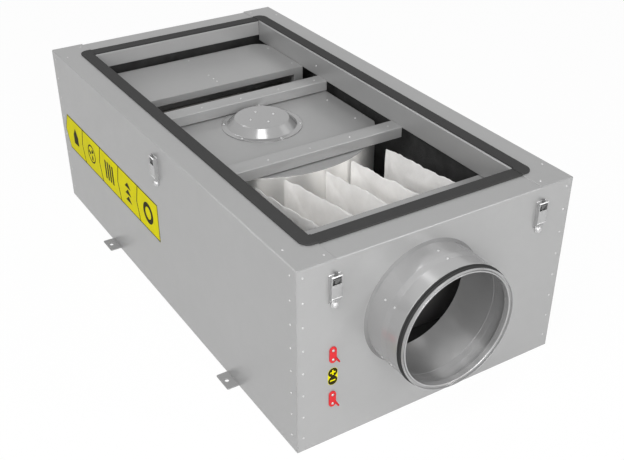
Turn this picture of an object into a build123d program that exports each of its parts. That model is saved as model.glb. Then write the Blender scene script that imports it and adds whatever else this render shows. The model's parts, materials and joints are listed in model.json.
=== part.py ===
from build123d import *
import os

# Air handling unit with its lid off: a folded galvanised case lined with foam, a bag
# filter behind the inlet bay, a fan box hung from two rails, and an electric air heater.
# Millimetres. X runs across the case, Y along it (inlet at -Y), Z up from the floor.

# Case
case_width = 612.0
case_length = 1152.0
case_height = 400.0
sheet = 1.5
base_sheet = 2.0
fold_radius = 2.0

# Flanges round the service opening, and the lip folded down from them
side_flange = 79.0
end_flange = 83.5
side_lip_depth = 52.0
end_lip_depth = 38.0
lip_corner_gap = 1.0

# Flat gasket on the flanges
gasket_band = 30.0
gasket_height = 3.0
gasket_corner = 20.0
gasket_setback = 0.5

# Ears of the base sheet, for bolting the unit down
ear_reach = 26.0
ear_width = 50.0
ear_corner = 3.0
ear_ys = (277.0, -327.0)
ear_hole_radius = 4.5
ear_hole_offset = 14.5

# Foam lining
foam = 38.0
foam_top_gap = 4.0

# Corner angles behind the upright edges
angle_leg_x = 24.5
angle_leg_y = 32.0
angle_sheet = 1.5

# Duct spigots: a tube lapped over a sleeve through the foam, and a riveted collar.
# The outlet's axis is the middle of the heater.
inlet_offset = -37.0
inlet_drop = 160.0
tube_radius = 124.5
tube_sheet = 1.0
spigot_reach = 104.0
sleeve_step = 0.7
sleeve_lap = 4.0
sleeve_setback = 1.0
foam_hole_clearance = 1.0
collar_length = 46.0
collar_gap = 2.0
collar_fit = 0.1
collar_flange = 12.5
wall_hole_clearance = 0.3

# Seal groove, rolled rim and the bead inside the mouth
groove_from_end = 5.5
groove_width = 9.5
groove_depth = 6.0
rim_step = 2.0
bead_depth = 3.2
bead_setback = 2.0
bead_round = 1.2
bead_lap = 0.1
groove_bend = 0.7
seal_lip = 0.5
seal_front_lip = 0.3
seal_fit = 0.1

# Rails across the opening
rail_drop = 50.0
rail_depth = 27.0
rail_width = 40.0
rail_end_gap = 0.2
rear_rail_inset = 15.0
front_rail_inset = 53.0

# Boxes that stand in the opening, measured on from the outlet end
box_gap = 1.0
box_corner = 42.0
outlet_bay = 108.0
heater_depth = 199.0
heater_slot = 75.0
cover_sheet = 1.5

# Fan box: its front is an arc about the motor
fan_front_margin = 30.0
fan_front_corner = 8.0
intake_width = 280.0
intake_height = 66.0
intake_sill = 14.0
blower_width = 280.0
blower_height = 130.0
blower_drop = 28.0

# Round cover over the fan motor
dome_inset = 117.0
dome_flange_radius = 92.0
dome_base_radius = 79.0
dome_top_radius = 61.0
dome_height = 19.0
dome_bend = 3.0
dome_rail_gap = 1.0

# Heater
frame_side = 24.5
frame_top = 17.0
rod_radius = 4.0
rod_rows = 4
rod_columns = 3
rod_pitch = 49.0
window_width = 284.0
window_height = 155.0
window_sill = 20.0

# Bag filter: a header plate with a mouth for every second space, and upright sheets
inlet_bay = 111.5
header_thickness = 22.0
header_side_gap = 12.0
header_top_gap = 1.5
mouth_sill = 90.0
mouth_head = 24.0
mouth_end = 18.0
fleece = 8.0
fleece_rear_xs = (-153.5, -86.5, 9.5, 77.0, 171.0)
fleece_front_xs = (-148.0, -69.0, 9.5, 88.0, 171.0)
fleece_rail_gap = 18.0
fleece_wall_gap = 1.5
fleece_cover_drop = 0.5
fleece_header_drop = 2.0
fleece_clearance = 0.5

# Lid catches
catch_drop = 30.0
catch_sheet = 1.2
catch_plate_width = 25.0
catch_length = 56.0
catch_screw_drop = 61.5
catch_tab_radius = 7.5
catch_cover_width = 21.8
catch_depth = 8.5
catch_top_step = 1.0
catch_bend_drop = 44.5
slot_width = 18.0
slot_top_drop = 3.5
slot_bottom_drop = 17.5
hook_width = 6.0
hook_out = 5.4
hook_bar_width = 16.8
hook_bar_drop = 9.0
hook_bar_height = 2.6
hook_bar_out = 7.2
hook_rise = 5.5
hook_foot_drops = (34.0, 24.0, 18.0)
hook_slot_fit = 0.5
end_catch_inset = 75.5
side_catch_y = -25.0

# Pressure taps
tap_inset = 74.0
tap_zs = (200.0, 98.5)
tap_length = 35.0
tap_width = 14.5
tap_thickness = 3.0
tap_round = 1.0
tap_screw_pitch = 20.0
tap_seat_radius = 3.6
tap_seat_depth = 1.0
nipple_place = (5.0, -8.0)
nipple_length = 11.5
nipple_radii = (2.6, 1.7)
nipple_bore = 0.9

# What follows from the sizes above; a duct axis is (x, height)
half_w = case_width / 2
half_l = case_length / 2
opening_width = case_width - 2 * side_flange
opening_length = case_length - 2 * end_flange
inner_x = half_w - sheet
inner_y = half_l - sheet
bay_x = inner_x - foam
bay_y = inner_y - foam
floor_top = base_sheet + foam
lining_top = case_height - 3 * sheet - foam_top_gap
rail_top = case_height - rail_drop
box_width = opening_width - 2 * box_gap
heater_back = half_l - outlet_bay
heater_front = heater_back - heater_depth
heater_top = rail_top
inlet_axis = (inlet_offset, case_height - inlet_drop)
outlet_axis = (0.0, (floor_top + heater_top) / 2)
fan_back = heater_front - heater_slot
dome_y = fan_back - dome_inset
fan_front_radius = box_width / 2 + fan_front_margin
fan_front = dome_y - fan_front_radius
fan_top = rail_top - rail_depth
rear_rail_y = fan_back - rear_rail_inset
front_rail_y = fan_front + front_rail_inset
header_front = -bay_y + inlet_bay
header_back = header_front + header_thickness
header_top = case_height - side_lip_depth - header_top_gap
header_half = bay_x - header_side_gap
fleece_rear_y = front_rail_y - rail_width / 2 - fleece_rail_gap
fleece_rear_top = fan_top - fleece_cover_drop
fleece_front_top = header_top - fleece_header_drop
PARTS = {}


def block(x0, x1, y0, y1, z0, z1):
    """Box between two corners."""
    centre = ((x0 + x1) / 2, (y0 + y1) / 2, (z0 + z1) / 2)
    return Pos(*centre) * Box(x1 - x0, y1 - y0, z1 - z0)


def flat(x0, x1, y0, y1):
    """Rectangle between two corners."""
    return Pos((x0 + x1) / 2, (y0 + y1) / 2) * Rectangle(x1 - x0, y1 - y0)


def folded(points, thickness, radius, plane, length):
    """Sheet folded along a centre line and run both ways from its plane."""
    section = trace(FilletPolyline(*points, radius=radius), line_width=thickness)
    return extrude(plane * section, amount=length / 2, both=True)


def on_axis(axis, y=0.0):
    """Place on a duct axis, given as (x, height)."""
    return Pos(axis[0], y, axis[1])


def mirrored(shape, plane):
    """The same piece on the other side."""
    return mirror(shape, about=plane)


def add(name, *solids):
    """Keep one named piece, or a set of like pieces that do not touch."""
    PARTS[name] = solids[0] if len(solids) == 1 else Compound(children=list(solids))


# Case sheets
def base_panel():
    """Flat floor sheet with four ears, each with one bolt hole."""
    outline = Rectangle(case_width, case_length)
    for y in ear_ys:
        ears = Pos(0, y) * Rectangle(case_width + 2 * ear_reach, ear_width)
        outline += ears
    tips = [v for v in outline.vertices() if abs(abs(v.X) - half_w - ear_reach) < 0.01]
    outline = fillet(tips, ear_corner)
    for y in ear_ys:
        for side in (-1, 1):
            outline -= Pos(side * (half_w + ear_hole_offset), y) * Circle(ear_hole_radius)
    return extrude(outline, base_sheet)


def side_panel():
    """Long side: wall, top flange over the end flanges, and a shorter hanging lip."""
    wall_x = -half_w + sheet / 2
    lip_x = -opening_width / 2 - sheet / 2
    top_z = case_height - sheet / 2
    path = [(wall_x, base_sheet), (wall_x, top_z), (lip_x, top_z), (lip_x, case_height - side_lip_depth)]
    panel = folded(path, sheet, fold_radius, Plane.XZ, case_length)
    clear_y = opening_length / 2 - lip_corner_gap
    for side in (-1, 1):
        y0, y1 = sorted((side * clear_y, side * (half_l + 1)))
        panel -= block(lip_x - sheet * 2, 0, y0, y1, 0, case_height - sheet)
        panel -= block(lip_x + fold_radius, 0, y0, y1, 0, case_height)
    return panel


def end_panel(sides, axis):
    """Short end: wall with the duct hole, flange under the side flanges, and a lip."""
    wall_y = -half_l + sheet / 2
    lip_y = -opening_length / 2 - sheet / 2
    top_z = case_height - sheet * 1.5
    path = [(wall_y, base_sheet), (wall_y, top_z), (lip_y, top_z), (lip_y, case_height - end_lip_depth)]
    panel = folded(path, sheet, fold_radius, Plane.YZ, 2 * inner_x)
    for side in (-1, 1):
        x0, x1 = sorted((side * opening_width / 2, side * half_w))
        panel -= block(x0, x1, lip_y - sheet * 2, 0, 0, top_z - sheet / 2)
    hole_radius = collar_radius() + wall_hole_clearance
    hole = Cylinder(hole_radius, 4 * sheet, rotation=(90, 0, 0))
    panel -= on_axis(axis, wall_y) * hole
    for panel_side in sides:
        panel -= panel_side
    return panel


def lid_gasket(sides):
    """Flat foam band round the opening; it fills the step between the flanges."""
    inner = Rectangle(opening_width + 2 * gasket_setback, opening_length + 2 * gasket_setback)
    outer = Rectangle(opening_width + 2 * gasket_band, opening_length + 2 * gasket_band)
    band = fillet(outer.vertices(), gasket_corner) - inner
    gasket = Pos(0, 0, case_height - sheet) * extrude(band, sheet + gasket_height)
    for side in sides:
        gasket -= side
    return gasket


def corner_angles():
    """Angle behind each upright edge, which the rivets of both walls hold."""
    angles = []
    leg = angle_sheet / 2
    for sx in (-1, 1):
        for sy in (-1, 1):
            x, y = sx * (inner_x - leg), sy * (inner_y - leg)
            path = [(sx * (inner_x - angle_leg_x), y), (x, y), (x, sy * (inner_y - angle_leg_y))]
            section = trace(FilletPolyline(*path, radius=fold_radius), line_width=angle_sheet)
            angles.append(Pos(0, 0, base_sheet) * extrude(section, lining_top - base_sheet))
    return angles


# Foam lining
def foam_block(x0, x1, y0, y1, z0, z1):
    """Slab notched where the corner angles stand."""
    piece = block(x0, x1, y0, y1, z0, z1)
    root = angle_sheet + fold_radius
    for sx in (-1, 1):
        for sy in (-1, 1):
            for leg_x, leg_y in ((angle_leg_x, angle_sheet), (angle_sheet, angle_leg_y), (root, root)):
                xs = sorted((sx * (half_w + 1), sx * (inner_x - leg_x)))
                ys = sorted((sy * (half_l + 1), sy * (inner_y - leg_y)))
                piece -= block(*xs, *ys, z0 - 1, z1 + 1)
    return piece


def end_foam(axis):
    """End slab with a hole round the sleeve and a recess round the collar's flange."""
    slab = block(-bay_x, bay_x, -inner_y, -bay_y, floor_top, lining_top)
    hole = Cylinder(tube_radius + foam_hole_clearance, 4 * foam, rotation=(90, 0, 0))
    flange_radius = collar_radius() + collar_flange
    recess = Cylinder(flange_radius + foam_hole_clearance, 4 * tube_sheet, rotation=(90, 0, 0))
    return slab - on_axis(axis, -inner_y) * (hole + recess)


def foam_lining():
    """Floor slab, two long slabs on it, and an end slab at each end."""
    add("floor_foam", foam_block(-inner_x, inner_x, -inner_y, inner_y, base_sheet, floor_top))
    add("left_foam", foam_block(-inner_x, -bay_x, -inner_y, inner_y, floor_top, lining_top))
    add("right_foam", foam_block(bay_x, inner_x, -inner_y, inner_y, floor_top, lining_top))
    add("front_foam", end_foam(inlet_axis))
    add("back_foam", mirrored(end_foam(outlet_axis), Plane.XZ))


# Duct spigots: sections drawn as (radius, distance along Y) and spun about the duct axis
def collar_radius():
    """Outside of the collar, which slides over the tube."""
    return tube_radius + collar_fit + tube_sheet


def spun(section, axis):
    """Ring about a duct axis, at the inlet end."""
    return on_axis(axis) * mirrored(revolve(section, Axis.Y), Plane.XZ)


def collar(axis):
    """Short outer tube with a flange behind the wall."""
    r = collar_radius() - tube_sheet / 2
    back = inner_y - tube_sheet / 2
    path = [(r + tube_sheet / 2 + collar_flange, back), (r, back), (r, half_l + collar_length)]
    return spun(trace(FilletPolyline(*path, radius=0.8), line_width=tube_sheet), axis)


def groove_span():
    """Outer faces of the seal groove along Y."""
    end = half_l + spigot_reach - groove_from_end
    return end - groove_width, end


def spigot(axis):
    """Tube with a seal groove, a stepped rim, a sleeve inside the wall and a bead."""
    r = tube_radius - tube_sheet / 2
    start, end = groove_span()
    rim = r - rim_step
    tube_start = half_l + collar_length + collar_gap
    mouth = half_l + spigot_reach
    path = [(r, tube_start), (r, start - tube_sheet / 2), (r - groove_depth, start - tube_sheet / 2),
            (r - groove_depth, end + tube_sheet / 2), (rim, end + tube_sheet / 2), (rim, mouth)]
    wall = trace(FilletPolyline(*path, radius=groove_bend), line_width=tube_sheet)
    sleeve = tube_radius - sleeve_step
    wall += flat(sleeve - tube_sheet, sleeve, bay_y + sleeve_setback, tube_start + sleeve_lap)
    bead_length = mouth - bead_setback - start
    bead = RectangleRounded(bead_depth, bead_length, bead_round)
    bead_outer = tube_radius - tube_sheet - groove_depth + bead_lap
    wall += Pos(bead_outer - bead_depth / 2, start + bead_length / 2) * bead
    return spun(wall, axis)


def spigot_seal(axis):
    """Rubber ring in the groove, with a back lip and a lower front lip."""
    start, end = groove_span()
    start, end = start + seal_fit, end - seal_fit
    floor = tube_radius - groove_depth + seal_fit
    mid = tube_radius - groove_depth / 2
    step = (end - start) / 6
    front = tube_radius + seal_front_lip
    outline = Polyline((floor, start), (mid, start), (tube_radius + seal_lip, start + step),
                       (mid, start + 3 * step), (front, start + 4 * step), (mid, end), (floor, end),
                       close=True)
    return spun(make_face(outline), axis)


# Rails
def rail(y):
    """Inverted channel from lip to lip."""
    x = rail_width / 2 - sheet / 2
    path = [(-x, rail_top - rail_depth), (-x, rail_top - sheet / 2), (x, rail_top - sheet / 2),
            (x, rail_top - rail_depth)]
    length = opening_width - 2 * rail_end_gap
    return Pos(0, y, 0) * folded(path, sheet, fold_radius, Plane.YZ, length)


# Fan box
def fan_front_at(x):
    """Y of the curved front at one place across the box."""
    return dome_y - (fan_front_radius**2 - x**2) ** 0.5


def fan_plan():
    """Straight sides, rounded back corners and a front in one arc."""
    x = box_width / 2
    side_end = fan_front_at(x)
    sides = Polyline((-x, side_end), (-x, fan_back), (x, fan_back), (x, side_end))
    front = ThreePointArc((x, side_end), (0, fan_front), (-x, side_end))
    plan = make_face(sides + front)
    corners = plan.vertices().group_by(Axis.Y)
    plan = fillet(corners[-1], box_corner)
    return fillet(plan.vertices().group_by(Axis.Y)[0], fan_front_corner)


def fan_housing():
    """Wall with a low intake slot to the filter and an outlet to the heater."""
    plan = fan_plan()
    wall = plan - offset(plan, -sheet)
    shell = Pos(0, 0, floor_top) * extrude(wall, fan_top - cover_sheet - floor_top)
    sill = floor_top + intake_sill
    head = fan_top - blower_drop
    x = intake_width / 2
    shell -= block(-x, x, fan_front - sheet, fan_front_at(x) + 2 * sheet, sill, sill + intake_height)
    x = blower_width / 2
    cut = 4 * sheet
    return shell - block(-x, x, fan_back - cut, fan_back + cut, head - blower_height, head)


def fan_cover():
    """Top sheet of the fan box, which carries the front rail."""
    return Pos(0, 0, fan_top - cover_sheet) * extrude(fan_plan(), cover_sheet)


def motor_cover():
    """Spun dome with a flat flange, trimmed straight along the rear rail."""
    low, high = sheet / 2, dome_height - sheet / 2
    path = [(dome_flange_radius, low), (dome_base_radius, low), (dome_top_radius, high), (0, high)]
    wall = trace(FilletPolyline(*path, radius=dome_bend), line_width=sheet)
    dome = Pos(0, dome_y, fan_top) * revolve(Plane.XZ * wall, Axis.Z)
    rail_face = rear_rail_y - rail_width / 2 - dome_rail_gap
    return dome - block(-half_w, half_w, rail_face, half_l, 0, case_height)


# Heater
def heater_plan():
    """Square at the front, rounded at the back."""
    plan = Rectangle(box_width, heater_depth)
    back = plan.vertices().group_by(Axis.Y)[-1]
    return Pos(0, heater_front + heater_depth / 2) * fillet(back, box_corner)


def heater_housing():
    """Open-fronted cover: rounded wall, top sheet and a window to the outlet."""
    plan = heater_plan()
    body = Pos(0, 0, floor_top) * extrude(plan, heater_top - floor_top)
    inside_x = box_width / 2 - sheet
    cavity = offset(plan, -sheet) + flat(-inside_x, inside_x, heater_front - sheet, heater_front + box_corner)
    body -= Pos(0, 0, floor_top) * extrude(cavity, heater_top - sheet - floor_top)
    sill = floor_top + window_sill
    x, cut = window_width / 2, 4 * sheet
    return body - block(-x, x, heater_back - cut, heater_back + cut, sill, sill + window_height)


def heater_frame():
    """Front frame folded back inside the cover."""
    half = box_width / 2 - sheet
    hole_half = box_width / 2 - frame_side
    outer = flat(-half, half, floor_top, heater_top - sheet)
    hole = flat(-hole_half, hole_half, floor_top + frame_top, heater_top - frame_top)
    face = extrude(Plane.XZ * (outer - hole), -sheet)
    rim = extrude(Plane.XZ * (offset(hole, sheet) - hole), -frame_top)
    return Pos(0, heater_front, 0) * (face + rim)


def heater_rods():
    """Straight elements between the side walls."""
    rods = []
    y0 = (heater_front + heater_back - rod_pitch * (rod_columns - 1)) / 2
    z0 = (floor_top + heater_top - rod_pitch * (rod_rows - 1)) / 2
    for column in range(rod_columns):
        for row in range(rod_rows):
            place = Pos(0, y0 + column * rod_pitch, z0 + row * rod_pitch)
            rods.append(place * Cylinder(rod_radius, box_width - 2 * sheet, rotation=(0, 90, 0)))
    return rods


# Bag filter
def filter_frame():
    """Header plate across the bay, with a tall mouth into every second space."""
    face = flat(-header_half, header_half, floor_top, header_top)
    edges = [*fleece_front_xs, header_half - mouth_end + fleece / 2]
    low, high = floor_top + mouth_sill, header_top - mouth_head
    for left, right in zip(edges[::2], edges[1::2]):
        face -= flat(left + fleece / 2, right - fleece / 2, low, high)
    return Pos(0, header_front, 0) * extrude(Plane.XZ * face, -header_thickness)


def fleece_sheet(rear_x, front_x):
    """Upright sheet from the header plate to the fan box, or as far as the rear line."""
    near = max(abs(rear_x) - fleece / 2, 0)
    y_front = header_back + fleece_clearance
    y_rear = min(fleece_rear_y, fan_front_at(near) - fleece_wall_gap)
    z0 = floor_top + fleece_clearance
    plan = Polyline((front_x - fleece / 2, y_front), (front_x + fleece / 2, y_front),
                    (rear_x + fleece / 2, y_rear), (rear_x - fleece / 2, y_rear), close=True)
    slab = Pos(0, 0, z0) * extrude(make_face(plan), fleece_front_top - z0)
    above = Polyline((y_rear, fleece_rear_top), (y_front, fleece_front_top),
                     (y_front, case_height), (y_rear, case_height), close=True)
    return slab - extrude(Plane.YZ * make_face(above), amount=half_w, both=True)


# Lid catches: local X across, Y out from the wall, Z up from the plate's top edge
def catch_plate():
    """Back plate with a rounded tab for the screw."""
    half = catch_plate_width / 2
    outline = flat(-half, half, -catch_length, 0)
    outline += flat(-catch_tab_radius, catch_tab_radius, -catch_screw_drop, -catch_length)
    outline += Pos(0, -catch_screw_drop) * Circle(catch_tab_radius)
    return extrude(Plane.XZ * outline, -catch_sheet)


def catch_cover():
    """Folded cover, open behind, with a window in its face and a slot in its top."""
    side = make_face(Polyline((catch_sheet, -catch_top_step), (catch_depth, -catch_top_step),
                              (catch_depth, -catch_bend_drop), (catch_sheet, -catch_length), close=True))
    cavity = offset(side, -catch_sheet)
    cavity += Pos(-1.5 * catch_sheet, 0) * cavity
    half = catch_cover_width / 2
    cover = extrude(Plane.YZ * side, amount=half, both=True)
    cover -= extrude(Plane.YZ * cavity, amount=half - catch_sheet, both=True)
    x = slot_width / 2
    cover -= block(-x, x, catch_depth - 1.5 * catch_sheet, catch_depth + 1, -slot_bottom_drop, -slot_top_drop)
    x = hook_width / 2 + hook_slot_fit
    y = catch_sheet / 2 + hook_slot_fit
    return cover - block(-x, x, hook_out - y, hook_out + y, -slot_top_drop, 1)


def catch_hook():
    """Bent strip with a cross bar behind the window and a peg above the cover."""
    foot = 1.5 * catch_sheet
    low, high, bend = hook_foot_drops
    path = FilletPolyline((foot, -low), (foot, -high), (hook_out, -bend), (hook_out, hook_rise), radius=2.0)
    strip = trace(path, line_width=catch_sheet)
    hook = extrude(Plane.YZ * strip, amount=hook_width / 2, both=True)
    x = hook_bar_width / 2
    low = -hook_bar_drop
    return hook + block(-x, x, hook_out - catch_sheet / 2, hook_bar_out, low, low + hook_bar_height)


def catch_places():
    """Two catches on each end and one on each long side."""
    z = case_height - catch_drop
    x = half_w - end_catch_inset
    places = []
    for side in (-1, 1):
        places.append(Pos(side * x, half_l, z))
        places.append(Pos(side * x, -half_l, z) * Rot(0, 0, 180))
        places.append(Pos(side * half_w, side_catch_y, z) * Rot(0, 0, -90 * side))
    return places


# Pressure taps: local X across, Y out from the wall, Z up from the plate's middle
def pressure_tap():
    """Moulded plate with two screw seats and a tapered hose nipple."""
    tap = extrude(Plane.XZ * SlotOverall(tap_length, tap_width, rotation=90), -tap_thickness)
    tap = fillet(tap.edges().group_by(Axis.Y)[-1], tap_round)
    for side in (-1, 1):
        seat = Cylinder(tap_seat_radius, 2 * tap_seat_depth, rotation=(90, 0, 0))
        tap -= Pos(0, tap_thickness, side * tap_screw_pitch / 2) * seat
    x, z = nipple_place
    root = tap_thickness - tap_round
    cone = Cone(nipple_radii[0], nipple_radii[1], nipple_length + tap_round, rotation=(-90, 0, 0))
    tap += Pos(-x, root + (nipple_length + tap_round) / 2, z) * cone
    bore = Cylinder(nipple_bore, nipple_length, rotation=(90, 0, 0))
    return tap - Pos(-x, tap_thickness + nipple_length / 2 + 1, z) * bore


def build():
    left = side_panel()
    right = mirrored(left, Plane.YZ)
    add("base_panel", base_panel())
    add("left_side_panel", left)
    add("right_side_panel", right)
    add("front_panel", end_panel((left, right), inlet_axis))
    add("back_panel", mirrored(end_panel((left, right), outlet_axis), Plane.XZ))
    add("corner_angles", *corner_angles())
    add("lid_gasket", lid_gasket((left, right)))
    foam_lining()
    for name, ring in (("collar", collar), ("spigot", spigot), ("seal", spigot_seal)):
        add(f"inlet_{name}", ring(inlet_axis))
        add(f"outlet_{name}", mirrored(ring(outlet_axis), Plane.XZ))
    add("rear_rail", rail(rear_rail_y))
    add("front_rail", rail(front_rail_y))
    add("fan_housing", fan_housing())
    add("fan_cover", fan_cover())
    add("motor_cover", motor_cover())
    add("heater_housing", heater_housing())
    add("heater_frame", heater_frame())
    add("heater_rods", *heater_rods())
    add("filter_frame", filter_frame())
    for number, (rear_x, front_x) in enumerate(zip(fleece_rear_xs, fleece_front_xs), 1):
        add(f"filter_fleece_{number}", fleece_sheet(rear_x, front_x))
    for name, piece in (("plates", catch_plate()), ("covers", catch_cover()), ("hooks", catch_hook())):
        add(f"catch_{name}", *[place * piece for place in catch_places()])
    tap = pressure_tap()
    add("pressure_taps", *[Pos(tap_inset - half_w, -half_l, z) * Rot(0, 0, 180) * tap for z in tap_zs])


build()
os.makedirs("parts", exist_ok=True)
for name, shape in PARTS.items():
    export_step(shape, f"parts/{name}.step")
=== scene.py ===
import json
import math

import bmesh
import bpy
from mathutils import Matrix, Vector, noise

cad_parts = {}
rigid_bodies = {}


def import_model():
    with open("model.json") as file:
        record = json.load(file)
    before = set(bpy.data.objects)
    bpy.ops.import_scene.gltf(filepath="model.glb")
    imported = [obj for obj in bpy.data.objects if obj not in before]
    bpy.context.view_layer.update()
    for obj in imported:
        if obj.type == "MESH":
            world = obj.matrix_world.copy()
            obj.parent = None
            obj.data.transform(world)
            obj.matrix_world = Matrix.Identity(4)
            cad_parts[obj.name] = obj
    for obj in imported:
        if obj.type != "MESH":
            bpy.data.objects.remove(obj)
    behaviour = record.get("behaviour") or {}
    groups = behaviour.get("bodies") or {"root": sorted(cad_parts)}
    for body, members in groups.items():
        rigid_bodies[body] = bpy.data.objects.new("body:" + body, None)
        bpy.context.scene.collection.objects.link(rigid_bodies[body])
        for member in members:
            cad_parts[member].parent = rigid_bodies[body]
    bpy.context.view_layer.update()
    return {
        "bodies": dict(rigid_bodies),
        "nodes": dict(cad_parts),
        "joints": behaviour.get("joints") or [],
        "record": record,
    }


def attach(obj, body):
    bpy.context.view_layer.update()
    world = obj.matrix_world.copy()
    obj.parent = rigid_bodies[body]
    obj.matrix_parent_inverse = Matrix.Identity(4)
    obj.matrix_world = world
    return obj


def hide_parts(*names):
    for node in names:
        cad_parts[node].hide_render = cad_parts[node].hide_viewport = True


# The object's lengths are in millimetres and are turned into metres where a mesh is made.
# Materials, lamps, the camera and the floor are in metres.
MM = 0.001
UP = (0, 0, 1)
SHARP_ANGLE = math.radians(50)

# Casing
SHEET = 1.5
HALF_WIDTH = 306.0
HALF_LENGTH = 576.0
HEIGHT = 400.0
INNER_X = HALF_WIDTH - SHEET
INNER_Y = HALF_LENGTH - SHEET

# Foam lining, set back from the walls where the corner angles are
FOAM = 38.0
FLOOR_TOP = 40.0
LINING_TOP = 391.5
LINING_X = INNER_X - 3.7
LINING_Y = INNER_Y - 3.7
LINING_FOOT = 2.2
LINING_GAP = 0.2
FOAM_ROUND = 2.5
DUCT_GAP = 1.0
RECESS_GAP = 1.5
RECESS_DEPTH = 4.0
RAYS = 160

# Foam gasket on the flanges. The end flanges lie one sheet lower than the side ones.
GASKET_INNER = (230.2, 493.0)
GASKET_OUTER = (257.0, 522.5)
GASKET_CORNER = 20.0
GASKET_TOP = 403.0
GASKET_LIFT = 0.05
END_GASKET_DROP = 1.4
SIDE_FLANGE_X = 227.0
STEP_XS = (SIDE_FLANGE_X - 0.2, SIDE_FLANGE_X - 0.6)
END_XS = (180.0, 60.0)
SIDE_YS = (360.0, 120.0, -120.0, -360.0)
CORNER_STEPS = 8

# Duct spigots: name, side of the casing, and axis as (x, height)
INLET_AXIS = (-37.0, 240.0)
OUTLET_AXIS = (0.0, 195.0)
DUCT_ENDS = (("inlet", -1, INLET_AXIS), ("outlet", 1, OUTLET_AXIS))
TUBE_RADIUS = 124.5
COLLAR_RADIUS = 125.6
COLLAR_FLANGE_RADIUS = 138.1
GROOVE_FLOOR = 118.5
SEAL_SPAN = (665.1, 674.4)
ROUND_SEGMENTS = 128

# Fan box, heater and rails
FAN_TOP = 323.0
HEATER_TOP = 350.0
RAIL_TOP = 350.0
REAR_RAIL_Y = 179.0
FRONT_RAIL_Y = -126.0
RAIL_HALF = 226.8
RAIL_HALF_DEPTH = 20.0
RAIL_LEG = 24.7
RAIL_FOLD = 2.5
RAIL_INNER_FOLD = 1.1
FOLD_STEPS = 5
DOME_Y = 77.0
DOME_TOP = 342.0

# Heads of rivets and screws, spun from (radius, height) points
RIVET = [(2.2, -0.2), (2.2, 0.1), (2.0, 0.5), (1.5, 0.8), (1.0, 0.9), (0.85, 0.85), (0.75, 0.4), (0, 0.45)]
DOME_SCREW = [(7.6, -0.2), (7.6, 0.7), (6.5, 0.9), (6.4, 2.6), (5.4, 4.7), (3.6, 5.9), (2.4, 6.2), (2.2, 4.6),
              (0, 4.4)]
SMALL_SCREW = [(2.9, -0.5), (2.9, 0.4), (2.4, 1.1), (1.3, 1.5), (1.1, 0.9), (0, 0.85)]

# Rivets of the casing
RIVET_HEIGHTS = [31.0 + 50.2 * k for k in range(8)]
END_RIVET_X = 292.8
SIDE_RIVET_Y = 556.5
TOP_RIVETS = ((290.5, 508.4), (240.1, 557.4))
LIP_RIVET = (226.9, 207.0, 371.0)

# Rivets of the rails, of the fan box's cover and of the heater
RAIL_RIVET_XS = (0, 100.7, -100.7, 201.5, -201.5)
REAR_RAIL_RIVET_Y = REAR_RAIL_Y - 3.0
FRONT_RAIL_RIVET_Y = FRONT_RAIL_Y - 2.0
RAIL_LEG_RIVET = (37.7, REAR_RAIL_Y - RAIL_HALF_DEPTH, 330.5)
COVER_RIVETS = [(x, y) for x in (198.7, -198.7) for y in (113.0, -6.6)]
HEATER_RIVETS = [(0, y) for y in (451.0, 340.0, 314.5, 295.6)]
HEATER_RIVETS += [(x, y) for x in (-213.0, 213.0) for y in (300.0, 420.0)]

# Screws of the round motor cover: a ring round its flange, and four on its crown
SIXTHS = [math.radians(60 * k + 30) for k in range(6)]
FLANGE_SCREW_RADIUS = 86.6
FLANGE_SCREW_Z = FAN_TOP + 1.5
RAIL_CLEARANCE = 25.0
CROWN_SCREWS = ((0, 30.0), (0, -30.0), (29.2, 0), (-29.2, 0))

# Rivets of each spigot, as reach from the wall and radius: through the collar, and through the tube
SPIGOT_RIVETS = ((30.0, COLLAR_RADIUS), (56.0, TUBE_RADIUS))

# Catches: places on the walls, and folds as reach from the wall, height, radius and half length
CATCH_X = 230.5
CATCH_Y = -25.0
CATCH_SHEET = 1.2
CATCH_SCREW_Z = 308.5
CATCH_FOLDS = ((0.9, 370.1, 0.6, 12.5), (8.0, 368.4, 1.2, 10.9), (8.3, 325.5, 0.5, 10.9))

# Pressure taps under the left catch of the inlet end
TAP_X = -232.0
TAP_HEIGHTS = (200.0, 98.5)
TAP_SHEET = 2.0
TAP_SCREW_STEP = 10

# Films, as two heights over the wall: the base, the print on it and the signs on that
FILM = (0.0, 0.25)
PRINT = (0.2, 0.4)
SIGN = (0.3, 0.5)

# Strip on the left wall, in the frame of side_frame
STRIP_LOW = 155.0
STRIP_HIGH = 247.0
STRIP_MIDDLE = (STRIP_LOW + STRIP_HIGH) / 2
STRIP_NEAR = 10.0
STRIP_FAR = -532.0
STRIP_TIP = -554.0
STRIP_RIM = 2.4
DIVIDERS = (-426.5, -314.0, -202.4, -94.2)
DIVIDER_POINT = 13
DIVIDER_WIDTH = 3.2
SYMBOL_XS = (-484.0, -378.0, -266.0, -155.0, -45.0)

# Sticker between the pressure taps: a plus disc over a minus disc, as height, radius and film
STICKER_PLACE = (-231.3, -HALF_LENGTH, 150.2)
STICKER_RADIUS = 10.3
DISC_STEP = 9.1
DISCS = ((DISC_STEP, 9.8, PRINT), (-DISC_STEP, 9.7, (0.19, 0.39)))
SIGN_HALF = 5.5
SIGN_HALF_WIDTH = 1.5

# Fleece: each sheet runs from a place on the header plate to one near the fan box
FLEECE_FRONT = ((-148.0, -404.0), (-69.0, -404.0), (9.5, -404.0), (88.0, -404.0), (171.0, -404.0))
FLEECE_REAR = ((-153.5, -165.5), (-86.5, -168.5), (6.5, -182.0), (77.0, -171.5), (171.0, -165.5))
FLEECE_BOTTOM = 40.5
FLEECE_REAR_TOP = 322.0
FLEECE_FRONT_TOP = 344.5
FLEECE_THICKNESS = 5.0
FLEECE_SEED = 7.3
EDGE_DROP = 2.5

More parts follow.
